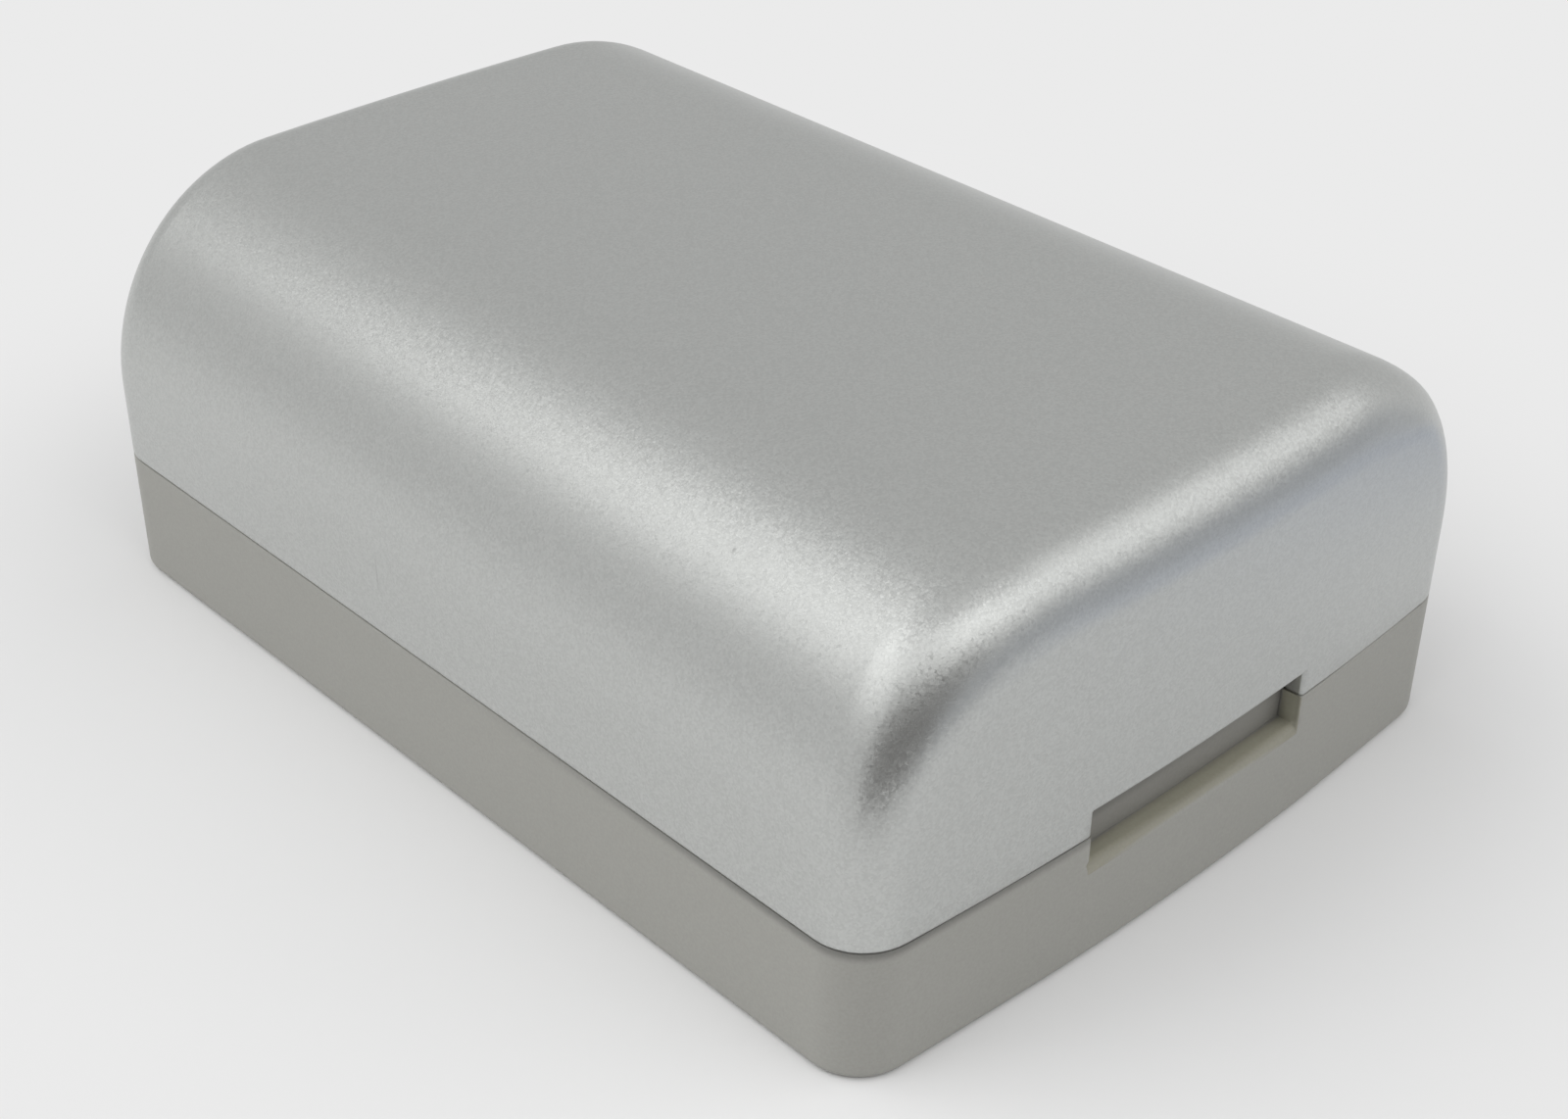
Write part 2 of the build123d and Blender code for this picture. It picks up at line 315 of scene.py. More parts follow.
class Finishes(bpy.types.PropertyGroup):
    """Colours and grain of the surfaces."""

    silver: FloatVectorProperty(
        name="Silver paint",
        description="Colour of the cover's flake paint",
        default=(0.540, 0.550, 0.536),
        subtype="COLOR",
    )
    flake: FloatProperty(
        name="Flake size",
        description="Width of one paint flake",
        default=0.1 * MM,
        unit="LENGTH",
        precision=6,
    )
    grey: FloatVectorProperty(
        name="Grey plastic",
        description="Colour of the tray's moulding",
        default=(0.312, 0.309, 0.291),
        subtype="COLOR",
    )
    grain: FloatProperty(
        name="Grain size",
        description="Width of the tray's moulded grain",
        default=0.14 * MM,
        unit="LENGTH",
        precision=6,
    )


class StudioSettings(bpy.types.PropertyGroup):
    """Camera, lamps and background."""

    focal_px: FloatProperty(
        name="Focal length",
        description="Focal length in pixels of the photograph",
        default=2473.2,
        subtype="PIXEL",
    )
    place: FloatVectorProperty(
        name="Camera place",
        description="Where the camera stands",
        default=(-68.52 * MM, -73.30 * MM, 68.79 * MM),
        subtype="TRANSLATION",
        unit="LENGTH",
    )
    azimuth: FloatProperty(
        name="Azimuth",
        description="Turn of the view from +Y towards +X",
        default=radians(43.88),
        subtype="ANGLE",
    )
    pitch: FloatProperty(
        name="Pitch",
        description="How far the camera looks down",
        default=radians(32.92),
        subtype="ANGLE",
    )
    roll: FloatProperty(
        name="Roll",
        description="Turn of the camera about its own view",
        default=radians(0.70),
        subtype="ANGLE",
    )
    backdrop: FloatProperty(
        name="Backdrop level",
        description="Brightness of the pale background",
        default=0.83,
        subtype="FACTOR",
    )
    floor: FloatProperty(
        name="Floor level",
        description="Lightness of the floor near the battery, where it takes the shadow",
        default=0.81,
        subtype="FACTOR",
    )
    horizon: FloatProperty(
        name="Horizon level",
        description="Brightness of the mirrored room near the horizon",
        default=0.62,
        subtype="FACTOR",
    )
    overhead: FloatProperty(
        name="Overhead level",
        description="Brightness of the mirrored room higher up",
        default=0.6,
        subtype="FACTOR",
    )
    fill: FloatProperty(
        name="Fill level",
        description="Soft light from all round",
        default=0.74,
        subtype="FACTOR",
    )
    lean: FloatProperty(
        name="Fill lean",
        description="How much stronger the fill is from the left than on average",
        default=0.38,
        subtype="FACTOR",
    )
    sides: FloatProperty(
        name="Fill from the sides",
        description="How much stronger the fill is from both sides than from the camera and from behind",
        default=0.9,
        subtype="FACTOR",
    )
    softboxes: FloatProperty(
        name="Softbox power",
        description="Power of the brightest softbox",
        default=0.46,
        unit="POWER",
    )
    reach: FloatProperty(
        name="Softbox distance",
        description="How far the softboxes hang from the battery",
        default=0.6,
        unit="LENGTH",
    )
    tilt: FloatProperty(
        name="Softbox tilt",
        description="Angle of the softboxes from straight overhead",
        default=radians(36),
        subtype="ANGLE",
    )


# Mesh helpers

def boxed(low, high):
    """A bmesh of one box between two corners."""
    bm = bmesh.new()
    bmesh.ops.create_cube(bm, size=1.0)
    bmesh.ops.scale(bm, vec=high - low, verts=bm.verts)
    bmesh.ops.translate(bm, vec=(high + low) / 2, verts=bm.verts)
    return bm


def middle(edge):
    """Middle point of an edge."""
    return (edge.verts[0].co + edge.verts[1].co) / 2


def run(edge):
    """Direction of an edge, with no sign."""
    step = (edge.verts[1].co - edge.verts[0].co).normalized()
    return Vector((abs(step.x), abs(step.y), abs(step.z)))


def rounded(bm, edges, radius, segments):
    """Round the given edges."""
    bmesh.ops.bevel(
        bm,
        geom=edges,
        offset=radius,
        offset_type="OFFSET",
        affect="EDGES",
        segments=segments,
        profile=0.5,
        clamp_overlap=False,
        material=-1,
    )


def cut(bm, axis, place, faces=None):
    """Cut the mesh, or some of its faces, by a plane across one axis."""
    normal = Vector((0, 0, 0))
    normal[axis] = 1
    faces = list(faces or bm.faces)
    edges = list(dict.fromkeys(edge for face in faces for edge in face.edges))
    verts = list(dict.fromkeys(vert for face in faces for vert in face.verts))
    geom = verts + edges + faces
    bmesh.ops.bisect_plane(bm, geom=geom, dist=TINY, plane_co=normal * place, plane_no=normal)


def sharp_edges(bm):
    """Edges whose two faces turn enough to be rounded."""
    return [edge for edge in bm.edges if edge.is_manifold and edge.calc_face_angle() > ROUNDED_TURN]


def bowed(bm, bow):
    """Pull the ends in towards their corners, so that each end face bows out at its middle."""
    for vert in bm.verts:
        reach = vert.co.y / HALF_LENGTH
        vert.co.y -= reach * bow * (vert.co.x / HALF_WIDTH) ** 2


def stations(*exact):
    """Places across the width where the ends are cut, so that they can bow: even ones and exact ones."""
    even = [HALF_WIDTH * step / HALF_STEPS for step in range(-USED_STEPS, USED_STEPS + 1)]
    kept = [x for x in even if all(abs(x - place) > LEAST_STEP for place in exact)]
    return sorted(kept + list(exact))


def new_piece(name, bm, node, material):
    """Make a finished piece from a bmesh, in place of one CAD node."""
    mesh = bpy.data.meshes.new(name)
    for face in bm.faces:
        face.smooth = True
    bm.to_mesh(mesh)
    bm.free()
    mesh.set_sharp_from_angle(angle=SHARP_TURN)
    mesh.materials.append(material)
    piece = bpy.data.objects.new(name, mesh)
    bpy.context.scene.collection.objects.link(piece)
    weighted = piece.modifiers.new("Even shading", "WEIGHTED_NORMAL")
    weighted.keep_sharp = True
    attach(piece, "root")
    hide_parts(node)
    return piece


# Shells

def rolled_rim(bm, cover):
    """Widen the front rim smoothly from the shoulders to the top, about its sharp outline."""
    centre_x = HALF_WIDTH - cover.shoulder
    centre_z = COVER_HIGH.z - cover.shoulder
    for vert in bm.verts:
        inset_y = HALF_LENGTH + vert.co.y
        if inset_y > cover.side_rim + TINY or vert.co.z < centre_z:
            continue
        out = Vector((max(abs(vert.co.x) - centre_x, 0), 0, vert.co.z - centre_z))
        inset = cover.shoulder - out.length
        if inset > cover.side_rim + TINY:
            continue
        out.normalize()
        start = cover.right_start if vert.co.x > 0 else cover.left_start
        rise = max(out.z - start, 0) / (1 - start)
        growth = (cover.top_rim / cover.side_rim - 1) * rise * rise * (3 - 2 * rise)
        vert.co.y += inset_y * growth
        vert.co.z -= inset * growth * out.z
        vert.co.x -= inset * growth * out.x * (1 if vert.co.x > 0 else -1)


def on_end(face):
    """Whether a face lies in one of the two flat ends."""
    end = HALF_LENGTH if face.calc_center_median().y > 0 else -HALF_LENGTH
    return all(abs(vert.co.y - end) < TINY for vert in face.verts)


def end_faces(bm, side):
    """Faces in the flat front end, for side -1, or in the flat back end, for side 1."""
    return [face for face in bm.faces if on_end(face) and face.calc_center_median().y * side > 0]


def cover_shell(cover, catch):
    """The cover: a box with large shoulders and rolled, bowed ends, opened below and cut for the notch."""
    bm = boxed(Vector((-HALF_WIDTH, -HALF_LENGTH, SEAM)), Vector((HALF_WIDTH, HALF_LENGTH, COVER_HIGH.z)))
    tops = [edge for edge in bm.edges if middle(edge).z > COVER_HIGH.z - TINY and run(edge).y > MAINLY]
    rounded(bm, tops, cover.shoulder, cover.segments)
    for place in stations(-catch.width / 2, catch.width / 2):
        cut(bm, 0, place)
    rims = [
        edge
        for edge in bm.edges
        if sum(on_end(face) for face in edge.link_faces) == 1 and middle(edge).z > SEAM + TINY
    ]
    rounded(bm, rims, cover.side_rim, CORNER_FACES)
    rolled_rim(bm, cover)
    # Strips under the shoulders, so that the ends bend evenly
    ends = [face for face in bm.faces if on_end(face)]
    last = 0.0
    for place in sorted({round(abs(vert.co.x), PLACE_DIGITS) for face in ends for vert in face.verts}):
        if place - last > NEAR and place < HALF_WIDTH - cover.side_rim - NEAR:
            last = place
            for side in (-place, place):
                cut(bm, 0, side, [face for face in bm.faces if on_end(face)])
    notch_top = SEAM + catch.above
    cut(bm, 2, notch_top)
    below = [face for face in bm.faces if all(vert.co.z < SEAM + TINY for vert in face.verts)]
    notch = [
        face
        for face in end_faces(bm, -1)
        if face.calc_center_median().z < notch_top and abs(face.calc_center_median().x) < catch.width / 2
    ]
    bmesh.ops.delete(bm, geom=below + notch, context="FACES")
    bowed(bm, cover.bow)
    bmesh.ops.recalc_face_normals(bm, faces=bm.faces)
    bmesh.ops.solidify(bm, geom=list(bm.faces), thickness=cover.wall)
    # Cut edges, all round and up the sides of the notch
    cuts = [
        edge
        for edge in sharp_edges(bm)
        if run(edge).z < MAINLY or abs(middle(edge).x) < catch.width / 2 + TINY
    ]
    rounded(bm, cuts, cover.edge, CUT_FACES)
    return bm


def tray_shell(tray, catch, cover):
    """The tray: an open box with rounded corners, cut for the notch and the contact windows."""
    bm = boxed(Vector((-HALF_WIDTH, -HALF_LENGTH, 0)), Vector((HALF_WIDTH, HALF_LENGTH, SEAM)))
    rounded(bm, [edge for edge in bm.edges if run(edge).z > MAINLY], tray.corner, CORNER_FACES)
    windows = [CONTACT_PITCH * step for step in (-1, 0, 1)]
    sides = [x + side * tray.window_width / 2 for x in windows for side in (-1, 1)]
    notch_sides = (-catch.width / 2, catch.width / 2)
    for place in stations(*notch_sides, *sides):
        cut(bm, 0, place, end_faces(bm, -1) if place in notch_sides else None)
    feet = [
        edge
        for edge in bm.edges
        if middle(edge).z < TINY and any(face.normal.z > -MAINLY for face in edge.link_faces)
    ]
    rounded(bm, feet, tray.bottom, FOOT_FACES)
    window_middle = (CONTACT_LOW.z + CONTACT_HIGH.z) / 2
    window_low = window_middle - tray.window_height / 2
    window_high = window_middle + tray.window_height / 2
    notch_bottom = SEAM - catch.below
    cut(bm, 2, notch_bottom, end_faces(bm, -1))
    for place in (window_low, window_high):
        cut(bm, 2, place, end_faces(bm, 1))
    gone = []
    for face in bm.faces:
        spot = face.calc_center_median()
        at_notch = spot.y < 0 and abs(spot.x) < catch.width / 2 and spot.z > notch_bottom
        nearest = min(abs(spot.x - x) for x in windows)
        at_window = spot.y > 0 and nearest < tray.window_width / 2 and window_low < spot.z < window_high
        at_top = spot.z > SEAM - TINY
        if at_top or on_end(face) and (at_notch or at_window):
            gone.append(face)
    bmesh.ops.delete(bm, geom=gone, context="FACES")
    bowed(bm, cover.bow)
    bmesh.ops.recalc_face_normals(bm, faces=bm.faces)
    bmesh.ops.solidify(bm, geom=list(bm.faces), thickness=cover.wall)
    # Rounded front of the ledge in the notch
    wall_middle = -HALF_LENGTH + cover.wall / 2
    front = [
        edge
        for edge in bm.edges
        if abs(middle(edge).z - notch_bottom) < TINY
        and abs(middle(edge).x) < catch.width / 2
        and middle(edge).y < wall_middle
        and run(edge).x > MAINLY
    ]
    rounded(bm, front, catch.lip, LIP_FACES)
    # Rounded corners of the windows
    corners = [
        edge
        for edge in bm.edges
        if middle(edge).y > 0
        and run(edge).y > MAINLY
        and min(abs(middle(edge).z - z) for z in (window_low, window_high)) < TINY
        and min(abs(middle(edge).x - x) for x in sides) < NEAR
    ]
    rounded(bm, corners, tray.window_corner, WINDOW_FACES)
    # Fine edges, apart from those that the wall behind the notch joins
    fine = [
        edge
        for edge in sharp_edges(bm)
        if middle(edge).y > 0
        or middle(edge).y < wall_middle
        or abs(middle(edge).x) > catch.width / 2 + TINY
        or middle(edge).z < notch_bottom - TINY
    ]
    rounded(bm, fine, tray.edge, FINE_FACES)
    return bm


def pocket_wall(catch, cover):
    """The wall behind the notch, carried up behind the cover and joined to the tray round the notch."""
    half = catch.width / 2 + catch.lap
    face_y = -HALF_LENGTH + catch.depth
    notch_bottom = SEAM - catch.below
    low = Vector((-half, face_y, notch_bottom - catch.lap))
    high = Vector((half, face_y + cover.wall, SEAM + catch.above + catch.lap))
    bm = boxed(low, high)
    for place in stations(-half, -catch.width / 2, catch.width / 2, half):
        if abs(place) < half - TINY:
            cut(bm, 0, place)
    for place in (notch_bottom, SEAM):
        cut(bm, 2, place)
    joined = []
    for face in bm.faces:
        spot = face.calc_center_median()
        beside = abs(spot.x) > catch.width / 2 and spot.z < SEAM
        if face.normal.y < -MAINLY and (beside or spot.z < notch_bottom):
            joined.append(face)
    grown = bmesh.ops.extrude_face_region(bm, geom=joined)["geom"]
    verts = [item for item in grown if isinstance(item, bmesh.types.BMVert)]
    bmesh.ops.translate(bm, vec=(0, cover.wall - catch.depth, 0), verts=verts)
    bmesh.ops.delete(bm, geom=joined, context="FACES")
    bowed(bm, cover.bow)
    return bm


# Shader groups

def shader_group(name, inputs, outputs):
    """A new node group with named number sockets. Returns the tree and its two end nodes."""
    tree = bpy.data.node_groups.new(name, "ShaderNodeTree")
    for label, default in inputs.items():
        socket = tree.interface.new_socket(label, in_out="INPUT", socket_type="NodeSocketFloat")
        socket.default_value = default
    for label in outputs:
        tree.interface.new_socket(label, in_out="OUTPUT", socket_type="NodeSocketFloat")
    return tree, tree.nodes.new("NodeGroupInput"), tree.nodes.new("NodeGroupOutput")


def group_named(name, maker):
    """A shared node group, made once."""
    return bpy.data.node_groups.get(name) or maker(name)


def plug(tree, socket, value):
    """Feed an input from another node's output, or set it to a fixed value."""
    if isinstance(value, bpy.types.NodeSocket):
        tree.links.new(value, socket)
    else:
        socket.default_value = value


def math_node(tree, operation, *values):
    """Output of a math node, whose inputs are outputs or numbers."""
    node = tree.nodes.new("ShaderNodeMath")
    node.operation = operation
    for socket, value in zip(node.inputs, values):
        plug(tree, socket, value)
    return node.outputs[0]


def vector_node(tree, operation, *values):
    """Output of a vector math node: a number for a product, a length or a distance, and else a vector."""
    node = tree.nodes.new("ShaderNodeVectorMath")
    node.operation = operation
    for socket, value in zip(node.inputs, values):
        plug(tree, socket, value)
    return node.outputs["Value" if operation in ("DOT_PRODUCT", "LENGTH", "DISTANCE") else "Vector"]


def ranged(tree, value, start, end, first=0.0, last=1.0, smooth=True):
    """Output that goes from a first level to a last one while a value goes from a start to an end."""
    node = tree.nodes.new("ShaderNodeMapRange")
    node.interpolation_type = "SMOOTHSTEP" if smooth else "LINEAR"
    labels = ("Value", "From Min", "From Max", "To Min", "To Max")
    for label, level in zip(labels, (value, start, end, first, last)):
        plug(tree, node.inputs[label], level)
    return node.outputs[0]


def mixed(tree, share, first, second):
    """Output that goes from a first value to a second one as a share goes from zero to one."""
    node = tree.nodes.new("ShaderNodeMix")
    for label, value in zip(("Factor", "A", "B"), (share, first, second)):
        plug(tree, node.inputs[label], value)
    return node.outputs["Result"]


def split_vector(tree, vector):
    """Outputs of the three parts of a vector."""
    node = tree.nodes.new("ShaderNodeSeparateXYZ")
    tree.links.new(vector, node.inputs[0])
    return node.outputs


def object_coordinates(tree):
    """Output of the object's own coordinates, in metres."""
    return tree.nodes.new("ShaderNodeTexCoord").outputs["Object"]


def shade_near_one(tree, value, contrast):
    """Output of a shade that varies round one as a value varies round a half."""
    return math_node(tree, "MULTIPLY_ADD", math_node(tree, "SUBTRACT", value, 0.5), contrast, 1.0)


def flake_group(name):
    """Paint flakes: each cell has a shade of its own and leans its own way, and a few lean far."""
    tree, start, end = shader_group(name, {"Size": 0.1 * MM, "Contrast": 0.1}, ("Shade", "Height"))
    coordinates = object_coordinates(tree)
    cells = tree.nodes.new("ShaderNodeTexVoronoi")
    tree.links.new(coordinates, cells.inputs["Vector"])
    tree.links.new(math_node(tree, "DIVIDE", 1.0, start.outputs["Size"]), cells.inputs["Scale"])
    offset = vector_node(tree, "SUBTRACT", coordinates, cells.outputs["Position"])
    lean = vector_node(tree, "SUBTRACT", cells.outputs["Color"], (0.5, 0.5, 0.5))
    height = vector_node(tree, "DOT_PRODUCT", offset, lean)
    split = tree.nodes.new("ShaderNodeSeparateColor")
    tree.links.new(cells.outputs["Color"], split.inputs[0])
    rare = math_node(tree, "POWER", split.outputs[2], LEAN_RARITY)
    stray = math_node(tree, "MULTIPLY_ADD", rare, LEAN_MORE, LEAN_LEAST)
    tree.links.new(math_node(tree, "MULTIPLY", height, stray), end.inputs["Height"])
    tree.links.new(shade_near_one(tree, split.outputs[0], start.outputs["Contrast"]), end.inputs["Shade"])
    return tree


def noise_group(name, detail, stretch):
    """Even noise, drawn out along X by a stretch, as a shade near one and a height."""
    tree, start, end = shader_group(name, {"Size": 0.2 * MM, "Contrast": 0.1}, ("Shade", "Height"))
    drawn = vector_node(tree, "MULTIPLY", object_coordinates(tree), (1 / stretch, 1.0, 1.0))
    noise = tree.nodes.new("ShaderNodeTexNoise")
    noise.inputs["Detail"].default_value = detail
    tree.links.new(drawn, noise.inputs["Vector"])
    tree.links.new(math_node(tree, "DIVIDE", 1.0, start.outputs["Size"]), noise.inputs["Scale"])
    tree.links.new(shade_near_one(tree, noise.outputs[0], start.outputs["Contrast"]), end.inputs["Shade"])
    tree.links.new(noise.outputs[0], end.inputs["Height"])
    return tree


def grain_group(name):
    """Fine even grain."""
    return noise_group(name, detail=3.0, stretch=1.0)


def brushed_group(name):
    """Rolling or drawing lines along X."""
    return noise_group(name, detail=4.0, stretch=25.0)


def notch_group(name):
    """Depth inside the catch notch: zero at the front face and outside the notch, one at its back wall."""
    sizes = {"Width": 10.0 * MM, "Low": 0.0, "High": 10.0 * MM, "Front": 0.0, "Back": 1.0 * MM}
    tree, start, end = shader_group(name, sizes, ("Depth",))
    x, y, z = split_vector(tree, object_coordinates(tree))
    depth = ranged(tree, y, start.outputs["Front"], start.outputs["Back"], smooth=False)
    half = math_node(tree, "MULTIPLY", start.outputs["Width"], 0.5)
    inside = math_node(tree, "LESS_THAN", math_node(tree, "ABSOLUTE", x), half)
    for low, high in ((start.outputs["Low"], z), (z, start.outputs["High"]), (y, 0.0)):
        inside = math_node(tree, "MULTIPLY", inside, math_node(tree, "LESS_THAN", low, high))
    tree.links.new(math_node(tree, "MULTIPLY", inside, depth), end.inputs["Depth"])
    return tree


# Materials

def plain_material(name, colour, roughness, metallic=0.0):
    """A new material with its own surface shader. Returns the material, its tree and the shader."""
    material = bpy.data.materials.new(name)
    material.use_nodes = True
    tree = material.node_tree
    surface = tree.nodes["Principled BSDF"]
    surface.inputs["Base Color"].default_value = (*colour, 1.0)
    surface.inputs["Roughness"].default_value = roughness
    surface.inputs["Metallic"].default_value = metallic
    return material, tree, surface


def shaded(tree, shade, colour):
    """Output of a colour, fixed or from a socket, made lighter and darker by a shade."""
    node = tree.nodes.new("ShaderNodeVectorMath")
    node.operation = "SCALE"
    plug(tree, node.inputs[0], colour)
    plug(tree, node.inputs["Scale"], shade)
    return node.outputs[0]


def textured(tree, surface, group, colour, size, contrast, strength, distance):
    """Give a surface the shade and the relief of a group. Returns the output of the shaded colour."""
    effect = tree.nodes.new("ShaderNodeGroup")
    effect.node_tree = group
    effect.inputs["Size"].default_value = size
    effect.inputs["Contrast"].default_value = contrast
    bump = tree.nodes.new("ShaderNodeBump")
    bump.inputs["Strength"].default_value = strength
    bump.inputs["Distance"].default_value = distance
    tree.links.new(effect.outputs["Height"], bump.inputs["Height"])
    tree.links.new(bump.outputs[0], surface.inputs["Normal"])
    tone = shaded(tree, effect.outputs["Shade"], colour)
    tree.links.new(tone, surface.inputs["Base Color"])
    return tone


def notch_painted_shade(tree, tone, catch):
    """Paint shade into a colour by its depth in the catch notch: darker towards the back wall, with an olive
    tint of painted reflected light.
    """
    notch = tree.nodes.new("ShaderNodeGroup")
    notch.node_tree = group_named("Notch depth", notch_group)
    notch.inputs["Width"].default_value = catch.width + NEAR
    notch.inputs["Low"].default_value = SEAM - catch.below - catch.lip
    notch.inputs["High"].default_value = SEAM + catch.above + catch.lip
    notch.inputs["Front"].default_value = -HALF_LENGTH
    notch.inputs["Back"].default_value = -HALF_LENGTH + catch.depth
    ramp = tree.nodes.new("ShaderNodeValToRGB")
    tree.links.new(notch.outputs["Depth"], ramp.inputs[0])
    for element, (depth, tint) in zip(ramp.color_ramp.elements, (NOTCH_PAINTED_SHADE[0], NOTCH_PAINTED_SHADE[-1])):
        element.position = depth
        element.color = (*tint, 1.0)
    for depth, tint in NOTCH_PAINTED_SHADE[1:-1]:
        ramp.color_ramp.elements.new(depth).color = (*tint, 1.0)
    return vector_node(tree, "MULTIPLY", tone, ramp.outputs[0])


def scored(tree, tone, mark):
    """Darken a colour in a small mark: a middle point, half its size along X, Y and Z, and a level."""
    middle_point, half_size, level = mark
    offset = tree.nodes.new("ShaderNodeMapping")
    offset.vector_type = "TEXTURE"
    offset.inputs["Location"].default_value = middle_point
    offset.inputs["Scale"].default_value = half_size
    tree.links.new(object_coordinates(tree), offset.inputs["Vector"])
    reach = 0.0
    for part in split_vector(tree, offset.outputs[0]):
        reach = math_node(tree, "MAXIMUM", reach, math_node(tree, "ABSOLUTE", part))
    return shaded(tree, ranged(tree, reach, MARK_CORE, 1.0, level, 1.0, smooth=False), tone)


def seam_painted_shadow(tree, tone):
    """Paint the shadow cast by the cover's edge into a colour, in a fine band under the seam, most of all at
    the front left corner.
    """
    height = split_vector(tree, object_coordinates(tree))["Z"]
    band = ranged(tree, height, SEAM - SEAM_SHADOW_BAND, SEAM)
    corner = (-HALF_WIDTH, -HALF_LENGTH, SEAM)
    distance = vector_node(tree, "DISTANCE", object_coordinates(tree), corner)
    shadow_share = ranged(tree, distance, SEAM_SHADOW_FULL, SEAM_SHADOW_GONE, -SEAM_SHADOW_LOSS, 0.0)
    return shaded(tree, math_node(tree, "MULTIPLY_ADD", band, shadow_share, 1.0), tone)


def silver_paint(finish, flake):
    """Satin silver paint with a fine flake, a hair scratch on the left side and a nick on the shoulder."""
    material, tree, surface = plain_material("silver_paint", finish.silver, roughness=0.36, metallic=0.9)
    tone = textured(
        tree, surface, flake, finish.silver, size=finish.flake, contrast=0.125, strength=1.0, distance=0.07
    )
    for mark in (SCRATCH, NICK):
        tone = scored(tree, tone, mark)
    tree.links.new(tone, surface.inputs["Base Color"])
    return material


def grey_moulding(finish, grain, catch):
    """Matte grey plastic with a fine grain, a painted shadow under the seam, and painted shade with an olive
    reflected tint in the notch.
    """
    material, tree, surface = plain_material("grey_moulding", finish.grey, roughness=0.55)
    tone = textured(
        tree, surface, grain, finish.grey, size=finish.grain, contrast=0.2, strength=0.3, distance=0.02 * MM
    )
    # Painted shadow under the seam, then painted shade and painted olive reflected light in the notch, both
    # in the base colour
    tree.links.new(notch_painted_shade(tree, seam_painted_shadow(tree, tone), catch), surface.inputs["Base Color"])
    return material


def simple_finish(name, group, colour, roughness, metallic, size, contrast, distance):
    """A finish with one shared effect for its shade and relief."""
    material, tree, surface = plain_material(name, colour, roughness, metallic)
    textured(tree, surface, group, colour, size, contrast, strength=0.5, distance=distance)
    return material


# Stage

def backdrop_world(studio):
    """Pale backdrop for what is seen, a duller room for what is mirrored, and a soft fill for the light."""
    world = bpy.data.worlds.new("studio")
    world.use_nodes = True
    bpy.context.scene.world = world
    tree = world.node_tree
    tree.nodes.clear()
    output = tree.nodes.new("ShaderNodeOutputWorld")
    background = tree.nodes.new("ShaderNodeBackground")
    background.inputs["Color"].default_value = (1.0, 1.0, 1.0, 1.0)
    tree.links.new(background.outputs[0], output.inputs["Surface"])
    direction = tree.nodes.new("ShaderNodeTexCoord").outputs["Generated"]
    # Fill, a little stronger from the left than from the right, and from both sides than along the view
    lean = vector_node(tree, "DOT_PRODUCT", direction, [part * studio.lean for part in FILL_SIDE])
    ahead = vector_node(tree, "DOT_PRODUCT", direction, (sin(studio.azimuth), cos(studio.azimuth), 0.0))
    aside = vector_node(tree, "DOT_PRODUCT", direction, (cos(studio.azimuth), -sin(studio.azimuth), 0.0))
    aside_squared = math_node(tree, "MULTIPLY", aside, aside)
    ahead_squared = math_node(tree, "MULTIPLY", ahead, ahead)
    excess = math_node(tree, "SUBTRACT", aside_squared, ahead_squared)
    level = math_node(tree, "MULTIPLY_ADD", excess, studio.sides, math_node(tree, "ADD", lean, 1.0))
    fill = math_node(tree, "MULTIPLY", level, studio.fill)
    # Mirrored room, with a level of its own at the horizon and overhead
    height = split_vector(tree, direction)["Z"]
    room = ranged(tree, height, *ROOM_CHANGE, studio.horizon, studio.overhead)
    path = tree.nodes.new("ShaderNodeLightPath")
    mirrored = mixed(tree, path.outputs["Is Glossy Ray"], fill, room)
    clear = math_node(tree, "MAXIMUM", path.outputs["Is Camera Ray"], path.outputs["Is Transmission Ray"])
    tree.links.new(mixed(tree, clear, mirrored, studio.backdrop), background.inputs["Strength"])


def seen_or_mirrored(tree):
    """Output that is one for camera, glossy and transmission rays."""
    path = tree.nodes.new("ShaderNodeLightPath")
    either = math_node(tree, "MAXIMUM", path.outputs["Is Camera Ray"], path.outputs["Is Glossy Ray"])
    return math_node(tree, "MAXIMUM", either, path.outputs["Is Transmission Ray"])


def pale_floor(studio):
    """Pale floor that takes the shadow near the battery and fades to the backdrop further out."""
    bm = bmesh.new()
    bmesh.ops.create_circle(bm, cap_ends=True, segments=FLOOR_SIDES, radius=FLOOR_RADIUS)
    mesh = bpy.data.meshes.new("floor")
    bm.to_mesh(mesh)
    bm.free()
    floor = bpy.data.objects.new("floor", mesh)
    bpy.context.scene.collection.objects.link(floor)
    level = studio.backdrop
    material, tree, surface = plain_material("pale_floor", (studio.floor,) * 3, roughness=0.9)
    surface.inputs["Specular IOR Level"].default_value = 0.0
    glow = tree.nodes.new("ShaderNodeEmission")
    glow.inputs["Color"].default_value = (level, level, level, 1.0)
    distance = vector_node(tree, "LENGTH", object_coordinates(tree))
    fade = ranged(tree, distance, *(share * HALF_LENGTH for share in FLOOR_FADE))
    mix = tree.nodes.new("ShaderNodeMixShader")
    tree.links.new(math_node(tree, "MULTIPLY", fade, seen_or_mirrored(tree)), mix.inputs["Fac"])
    tree.links.new(surface.outputs[0], mix.inputs[1])
    tree.links.new(glow.outputs[0], mix.inputs[2])
    tree.links.new(mix.outputs[0], tree.nodes["Material Output"].inputs["Surface"])
    mesh.materials.append(material)


